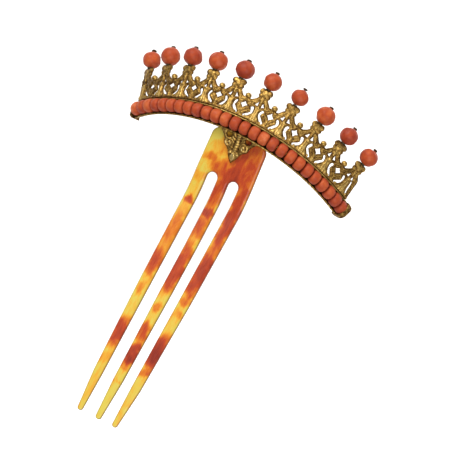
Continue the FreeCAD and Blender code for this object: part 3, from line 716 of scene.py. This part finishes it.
def relief_sheet(x, y, inside, front):
    """Corners and faces of a sheet cut to where inside is positive. Cells whose
    middle is inside are kept, and their border points slide along the slope of
    the distance onto the edge. Front and back are joined by a wall."""
    middle = (inside[1:, 1:] + inside[1:, :-1] + inside[:-1, 1:] + inside[:-1, :-1]) / 4
    kept = middle > 0
    padded = np.pad(kept, 1)
    around = padded[1:, 1:] & padded[1:, :-1] & padded[:-1, 1:] & padded[:-1, :-1]
    step_x, step_y = x[1, 0] - x[0, 0], y[0, 1] - y[0, 0]
    slope_x, slope_y = np.gradient(inside, step_x, step_y)
    size = np.maximum(slope_x ** 2 + slope_y ** 2, 0.25)
    slide = np.clip(np.where(around, 0, inside / size), -step_x, step_x)
    x, y = x - slide * slope_x, y - slide * slope_y
    rows, columns = x.shape
    number = np.arange(rows * columns).reshape(rows, columns)
    cells = np.stack([number[:-1, :-1], number[1:, :-1], number[1:, 1:], number[:-1, 1:]], axis=-1)[kept]
    total = rows * columns
    ends_x = padded[1:, 1:-1] ^ padded[:-1, 1:-1]
    ends_y = padded[1:-1, 1:] ^ padded[1:-1, :-1]
    sides = np.concatenate([np.stack([number[:, :-1], number[:, 1:]], axis=-1)[ends_x],
                            np.stack([number[:-1, :], number[1:, :]], axis=-1)[ends_y]])
    walls = np.concatenate([sides, sides[:, ::-1] + total], axis=1)
    faces = np.concatenate([cells, cells[:, ::-1] + total, walls])
    return x, y, front(x, y, inside), faces


def used_points(points, faces):
    """Drops the points that no face uses."""
    used, compact = np.unique(faces, return_inverse=True)
    return used, compact.reshape(faces.shape)


first_angle = STRIP_TURN - 4.5 * SPIRE_PITCH - POST_REACH
last_angle = STRIP_TURN + 4.5 * SPIRE_PITCH + POST_REACH + RIGHT_POST_EXTRA


def strip_place(run):
    """Distance across from the nearest spire, for distances along the strip, and
    whether that side has an end post."""
    turn = first_angle + run * MM / STRIP_RADIUS
    number = np.clip(np.round((turn - STRIP_TURN) / SPIRE_PITCH + 4.5), 0, 9)
    across = (turn - STRIP_TURN - (number - 4.5) * SPIRE_PITCH) * STRIP_RADIUS / MM
    return across, ((number == 0) & (across < 0)) | ((number == 9) & (across > 0))


def strip_front(run, up, inside):
    """Front height of the whole strip, at distances along it."""
    across = strip_place(run)[0]
    return strip_relief(across, up, np.clip(inside, 0, None))


strip_length = (last_angle - first_angle) * STRIP_RADIUS / MM
run, up = np.meshgrid(np.linspace(0, strip_length, 640), np.linspace(0, 14.3, 88), indexing="ij")
across, end_side = strip_place(run)
uneven_across = across + 0.10 * np.sin(run * 0.83) + 0.07 * np.sin(up * 1.9 + run * 0.31)
uneven_up = up + 0.10 * np.sin(run * 0.57 + 1) + 0.06 * np.sin(run * 1.9)
inside = strip_pattern(uneven_across, uneven_up, end_side)
left_side = run - LEFT_POST_INSET + LEFT_POST_SLANT * up
right_side = strip_length - run - RIGHT_POST_SLANT * up
inside = np.minimum(inside, np.minimum(np.minimum(left_side, right_side), up) + 0.02)
border = np.clip(inside, 0, None)
run, up, front, faces = relief_sheet(run, up, inside, strip_front)
turn = first_angle + run * MM / STRIP_RADIUS
front_points = on_gallery(turn, STRIP_FOOT + up * MM, STRIP_BACK + front * MM)
back_points = on_gallery(turn, STRIP_FOOT + up * MM, np.full(turn.shape, STRIP_BACK))
strip_points = np.concatenate([front_points.reshape(-1, 3), back_points.reshape(-1, 3)])
# Partly wear, partly painted light: the ridge number follows the front's height, so high relief is painted
# lighter as a painted highlight, and low metal and the back darker as painted shade.
front_ridge = np.clip((front - 0.35) / 1.0, 0, 1) ** 1.2 * 0.8 + 0.1 * chased_lines(border)
front_ridge *= 1 - CROWN_DULLING * np.clip(up - 10, 0, 1)
strip_ridge = np.concatenate([front_ridge.ravel(), np.full(turn.size, 0.35)])
used, faces = used_points(strip_points, faces)
strip_points, strip_ridge = strip_points[used], strip_ridge[used]


def gallery_frame(angle, height, outward):
    """A spot on the gallery and its three directions: round, out and up."""
    spot = on_gallery(angle, height, outward)
    up_way = on_gallery(angle, height + MM, outward) - spot
    out_way = on_gallery(angle, height, outward + MM) - spot
    round_way = np.array([math.cos(angle), math.sin(angle) * math.cos(FLARE),
                          -math.sin(angle) * math.sin(FLARE)])
    return spot, round_way, out_way / MM, up_way / MM


def turned(angle, height, outward, profile, count):
    """A turned shape on the gallery: a profile of (radius, height) carried round
    the up direction."""
    spot, round_way, out_way, up_way = gallery_frame(angle, height, outward)
    turns = np.linspace(0, 2 * math.pi, count + 1)[:-1]
    profile = np.asarray(profile, float)
    radius, rise = profile[:, :1, None], profile[:, 1:, None]
    ring = np.cos(turns)[None, :, None] * round_way + np.sin(turns)[None, :, None] * out_way
    return spot + radius * ring + rise * up_way


def joined(parts):
    """Points, faces and stored numbers of several (points, faces, number) parts
    in one."""
    starts = np.cumsum([0] + [len(points) for points, _, _ in parts[:-1]])
    return (np.concatenate([points for points, _, _ in parts]),
            np.concatenate([faces + start for (_, faces, _), start in zip(parts, starts)]),
            np.concatenate([numbers for _, _, numbers in parts]))


def grains():
    """The granules between the spires: small balls."""
    parts = []
    turns = np.linspace(0, math.pi, 11)
    profile = np.stack([1.28 * np.sin(turns), -1.2 * np.cos(turns)], axis=-1) * MM
    for number in range(9):
        angle = STRIP_TURN + (number - 4) * SPIRE_PITCH
        points = turned(angle, STRIP_FOOT + GRAIN_HEIGHT, GRAIN_SET, profile, 18)
        ridge = np.full(points.shape[:2], 0.56)
        parts.append((points.reshape(-1, 3), grid_faces(*points.shape[:2], wrap=True), ridge.ravel()))
    return parts


strip_points, faces, strip_ridge = joined([(strip_points, faces, strip_ridge)] + grains())
strip = make_piece("spire_strip", strip_points, faces, {"ridge": strip_ridge})
strip.data.materials.append(ornament_gilt)
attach(strip, "gallery")
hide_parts("pierced_strip")


# ---------------------------------------------------------------------------
# Finials. Ten drilled coral balls, rubbed to rough facets, each sitting in a
# small cup on its spire and held down by a pin with a flat dark head.
# ---------------------------------------------------------------------------

BALL_RADIUS = 3.7 * MM
BALL_HEIGHT = 21.35 * MM
SPIRE_SET = -0.3 * MM
# Each ball's girth against the usual one, and its red from brick to salmon.
BALL_SIZES = [1.0, 1.06, 1.05, 1.05, 1.05, 1.0, 0.95, 1.05, 1.0, 1.0]
BALL_TONES = [0.64, 0.60, 0.44, 0.60, 0.40, 0.60, 0.52, 0.66, 0.40, 0.54]
ball_coral = coral("ball_coral")


def rubbed_ball(planes, depths):
    """Directions and reach of a rough ball: in each direction it ends at the
    nearest of its rubbed planes, softened into the next ones."""
    rise, round_ = np.meshgrid(
        np.linspace(0, math.pi, 33), np.linspace(0, 2 * math.pi, 49)[:-1], indexing="ij")
    ways = np.stack([np.sin(rise) * np.cos(round_), np.sin(rise) * np.sin(round_), -np.cos(rise)], axis=-1)
    facing = np.einsum("ijk,nk->ijn", ways, planes)
    ends = np.where(facing > 0.2, depths / np.maximum(facing, 0.2), 9.0)
    reach = -np.log(np.exp(-20 * ends).sum(axis=-1)) / 20
    reach = reach / reach.mean() * 0.99
    return ways * (1.0, 1.0, 0.955), np.minimum(reach, 1.0)


def finials():
    """The ten balls, one piece each."""
    for number in range(10):
        angle = STRIP_TURN + (number - 4.5) * SPIRE_PITCH
        count = 26
        spread = np.arange(count) + 0.5
        lift, around = np.arccos(1 - 2 * spread / count), spread * 2.399963 + random.uniform(0, 6)
        planes = np.stack([np.sin(lift) * np.cos(around), np.sin(lift) * np.sin(around), np.cos(lift)],
                          axis=-1)
        planes += random.normal(0, 0.16, planes.shape)
        planes /= np.linalg.norm(planes, axis=-1, keepdims=True)
        ways, reach = rubbed_ball(planes, random.uniform(0.97, 1.04, count))
        spot, round_way, out_way, up_way = gallery_frame(angle, BALL_HEIGHT, SPIRE_SET)
        local = ways * reach[..., None] * BALL_RADIUS * BALL_SIZES[number]
        points = spot + local[..., :1] * round_way + local[..., 1:2] * out_way + local[..., 2:] * up_way
        tone = np.full(reach.shape, BALL_TONES[number]) + (reach - 0.97) * -2.0
        faces = grid_faces(*reach.shape, wrap=True)
        ball = make_piece(f"coral_ball_{number + 1:02d}", points, faces, {"tone": tone})
        ball.data.materials.append(ball_coral)
        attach(ball, "gallery")
        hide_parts(f"finial_ball_{number + 1:02d}")


finials()


def dark_metal():
    """Blackened old metal with some brown, for the cups and the pins."""
    material, tree = new_material("dark_metal")
    place = node(tree, "ShaderNodeTexCoord").outputs["Object"]
    patches = cloudy(tree, place, 1400.0, 4.0, 0.6)
    color = ramp(tree, patches, [
        (0.3, (0.018, 0.011, 0.006)), (0.6, (0.07, 0.040, 0.018)), (0.85, (0.19, 0.12, 0.05)),
    ])
    roughness = maths(tree, "MULTIPLY_ADD", patches, 0.4, 0.3)
    bump = node(tree, "ShaderNodeBump", {"Height": patches, "Strength": 0.4, "Distance": 0.0001})
    finish_material(tree, Base_Color=color, Roughness=roughness, Metallic=0.8, Normal=bump.outputs[0])
    return material


old_metal = dark_metal()
CUP_HEIGHT, PIN_HEAD_HEIGHT = 17.2 * MM, 24.98 * MM


def turned_set(name, part, height, profiles):
    """The same turned shape on all ten spires, in one piece."""
    parts = []
    for number, profile in enumerate(profiles):
        angle = STRIP_TURN + (number - 4.5) * SPIRE_PITCH
        points = turned(angle, height, SPIRE_SET, np.array(profile) * MM, 20)
        faces = grid_faces(*points.shape[:2], wrap=True)
        parts.append((points.reshape(-1, 3), faces, np.zeros(points.shape[0] * points.shape[1])))
    points, faces, _ = joined(parts)
    piece = make_piece(name, points, faces)
    piece.data.materials.append(old_metal)
    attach(piece, "gallery")
    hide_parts(part)


cup = [(0, 0), (0.7, 0), (0.85, 0.12), (1.0, 0.38), (1.08, 0.6), (1.0, 0.66), (0.8, 0.5), (0, 0.4)]
turned_set("spire_cups", "ball_cups", CUP_HEIGHT, [cup] * 10)
pins = []
for number in range(10):
    wide, tall = random.uniform(0.92, 1.06), random.uniform(0.62, 0.78)
    pins.append([(0, -4), (0.38, -4), (0.38, 0), (wide - 0.12, 0), (wide, 0.12), (wide, tall * 0.55),
                 (wide - 0.2, tall * 0.9), (wide * 0.4, tall), (0, tall)])
turned_set("ball_pin_heads", "ball_pins", PIN_HEAD_HEIGHT, pins)


# ---------------------------------------------------------------------------
# Palmette. A small cast ornament soldered under the channel's middle: two arms
# with rolled ends, a ridged middle leaf and a drop at the tip, which rests on
# the plate when the gallery stands up.
# ---------------------------------------------------------------------------

PALMETTE_LEAN = math.radians(32.4)
PALMETTE_LENGTH = 11.0
PALMETTE_TOP = np.array([0, -10.0, 14.45])


def palmette_pattern(across, up):
    """Signed distance inside the palmette, in millimetres from its tip."""
    x = np.abs(across)
    edge = [(-1, -1), (0, 0), (1.2, 1.5), (1.9, 2.6), (2.3, 3.6), (2.7, 4.6), (3.3, 5.3), (4.2, 6.2),
            (4.9, 7.2), (5.4, 8.4), (6.3, 9.8), (7.7, 11.3), (8.0, 12.6), (-1, 12.6)]
    metal = polygon_inside(x, up, edge)
    metal = np.maximum(metal, 1.95 - np.hypot(x - 3.4, up - 7.8))
    eye = 1.2 - np.hypot(x - 4.1, up - 11.0)
    return np.minimum(metal, -eye)


def palmette_relief(across, up, inside):
    """Front height in millimetres: rounded edges, rolled scrolls, ridged leaf."""
    x = np.abs(across)
    height = 0.35 + 0.4 * np.sqrt(1 - (1 - np.clip(inside / 0.7, 0, 1)) ** 2)
    away = np.hypot(x - 3.3, up - 7.8)
    turn = np.arctan2(up - 7.8, x - 3.3)
    scroll = np.clip(2.0 - away, 0, 1) * (0.3 + 0.4 * np.cos(away * 4.4 - turn))
    height += 0.85 * scroll
    height += 0.22 * np.exp(-(x / 0.6) ** 2) * np.clip((up - 3.6) / 1.5, 0, 1)
    swag = np.hypot(across * 0.9, up - 12.8)
    height += 0.07 * np.cos(swag * 5.6) * (up > 5.8) * (away > 1.9)
    height -= 0.25 * np.exp(-((x - 1.1) / 0.35) ** 2) * (up > 4.4)
    drop = np.hypot(x / 1.0, (up - 2.9) / 1.75)
    height += 0.7 * np.sqrt(np.clip(1 - drop ** 2, 0, 1))
    side = np.hypot(((x - 1.45) * 0.8 + (up - 4.4) * 0.6) / 0.55, ((up - 4.4) * 0.8 - (x - 1.45) * 0.6) / 1.1)
    height += 0.4 * np.sqrt(np.clip(1 - side ** 2, 0, 1))
    return np.clip(height, 0.25, 1.25)


across, up = np.meshgrid(np.linspace(-8.1, 8.1, 150), np.linspace(0, 12.5, 116), indexing="ij")
inside = np.minimum(palmette_pattern(across, up), 12.45 - up)
across, up, front, faces = relief_sheet(across, up, inside, palmette_relief)
lean_y, lean_z = math.sin(PALMETTE_LEAN), math.cos(PALMETTE_LEAN)
layers = []
for depth in (0.8 - front, np.full(front.shape, 0.8)):
    down = PALMETTE_LENGTH - up
    layers.append(np.stack([across, PALMETTE_TOP[1] + down * lean_y + depth * lean_z,
                            PALMETTE_TOP[2] - down * lean_z + depth * lean_y], axis=-1).reshape(-1, 3) * MM)
# Partly wear, partly painted light: raised relief is painted lighter as a painted highlight, low parts and
# the back darker as painted shade.
ridge = np.concatenate([(np.clip((front - 0.45) / 0.7, 0, 1) * 0.72 + 0.1).ravel(), np.full(front.size, 0.3)])
points = np.concatenate(layers)
used, faces = used_points(points, faces)
palmette = make_piece("palmette_ornament", points[used], faces, {"ridge": ridge[used]})
palmette.data.materials.append(ornament_gilt)
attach(palmette, "gallery")
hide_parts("palmette")


# ---------------------------------------------------------------------------
# Table, light and camera. The comb lies on its back on a pale table, seen from
# above and a little from the tips' side, under wide soft lamps.
# ---------------------------------------------------------------------------

def studio_table():
    """A pale, faintly mottled table that shows only from its upper side."""
    material, tree = new_material("pale_table")
    place = node(tree, "ShaderNodeTexCoord").outputs["Object"]
    tint = ramp(tree, cloudy(tree, place, 4.0), [(0.3, (0.90, 0.90, 0.89)), (0.7, (0.93, 0.93, 0.92))])
    paper = node(tree, "ShaderNodeBsdfPrincipled", {"Base Color": tint, "Roughness": 0.9})
    clear = node(tree, "ShaderNodeBsdfTransparent")
    facing = node(tree, "ShaderNodeNewGeometry").outputs["Backfacing"]
    both = node(tree, "ShaderNodeMixShader", {0: facing, 1: paper.outputs[0], 2: clear.outputs[0]})
    output = node(tree, "ShaderNodeOutputMaterial")
    tree.links.new(both.outputs[0], output.inputs["Surface"])
    half, behind = 1.6, 0.055
    corners = [(-half, behind, -half), (half, behind, -half), (half, behind, half), (-half, behind, half)]
    mesh = bpy.data.meshes.new("table")
    mesh.from_pydata(corners, [], [(0, 1, 2, 3)])
    table = bpy.data.objects.new("table", mesh)
    table.data.materials.append(material)
    bpy.context.scene.collection.objects.link(table)


studio_table()


def soft_lamp(name, place, target, width, power, color):
    """A wide square lamp at a place, facing a target."""
    light = bpy.data.lights.new(name, "AREA")
    light.size, light.energy, light.color = width, power, color
    lamp = bpy.data.objects.new(name, light)
    lamp.location = place
    lamp.rotation_euler = (Vector(target) - Vector(place)).to_track_quat("-Z", "Y").to_euler()
    bpy.context.scene.collection.objects.link(lamp)


soft_lamp("key_lamp", (-0.40, -0.77, 0.46), (0, 0, -0.03), 0.5, 11.0, (1.0, 0.98, 0.95))
soft_lamp("fill_lamp", (0.5, -0.85, -0.4), (0, 0, -0.03), 0.7, 10.5, (0.97, 0.98, 1.0))
soft_lamp("top_lamp", (0.1, -0.2, 0.8), (0, 0, 0), 0.5, 2.0, (1.0, 1.0, 1.0))

world = bpy.data.worlds.new("studio")
world.use_nodes = True
world.node_tree.nodes["Background"].inputs["Color"].default_value = (0.93, 0.95, 1.0, 1)
world.node_tree.nodes["Background"].inputs["Strength"].default_value = 0.42
bpy.context.scene.world = world
bpy.context.scene.view_settings.view_transform = "Standard"

TURN, TILT, ROLL = math.radians(13.97), math.radians(-9.39), math.radians(28.46)
away = np.array([-math.sin(TURN) * math.cos(TILT), math.cos(TURN) * math.cos(TILT), -math.sin(TILT)])
level = np.array([math.cos(TURN), math.sin(TURN), 0])
above = np.cross(level, away)
right = math.cos(ROLL) * level + math.sin(ROLL) * above
upright = math.cos(ROLL) * above - math.sin(ROLL) * level
aim = np.array([0, -4.0, -35.0]) * MM + 17.08 * MM * right + 10.79 * MM * upright
place = aim - 1.5 * away
camera_data = bpy.data.cameras.new("camera")
camera_data.lens, camera_data.sensor_width = 309.2, 36.0
camera_data.clip_end = 10.0
camera = bpy.data.objects.new("camera", camera_data)
pose = Matrix.Identity(4)
for column, way in enumerate((right, upright, -away, place)):
    for row in range(3):
        pose[row][column] = way[row]
camera.matrix_world = pose
bpy.context.scene.collection.objects.link(camera)
bpy.context.scene.camera = camera
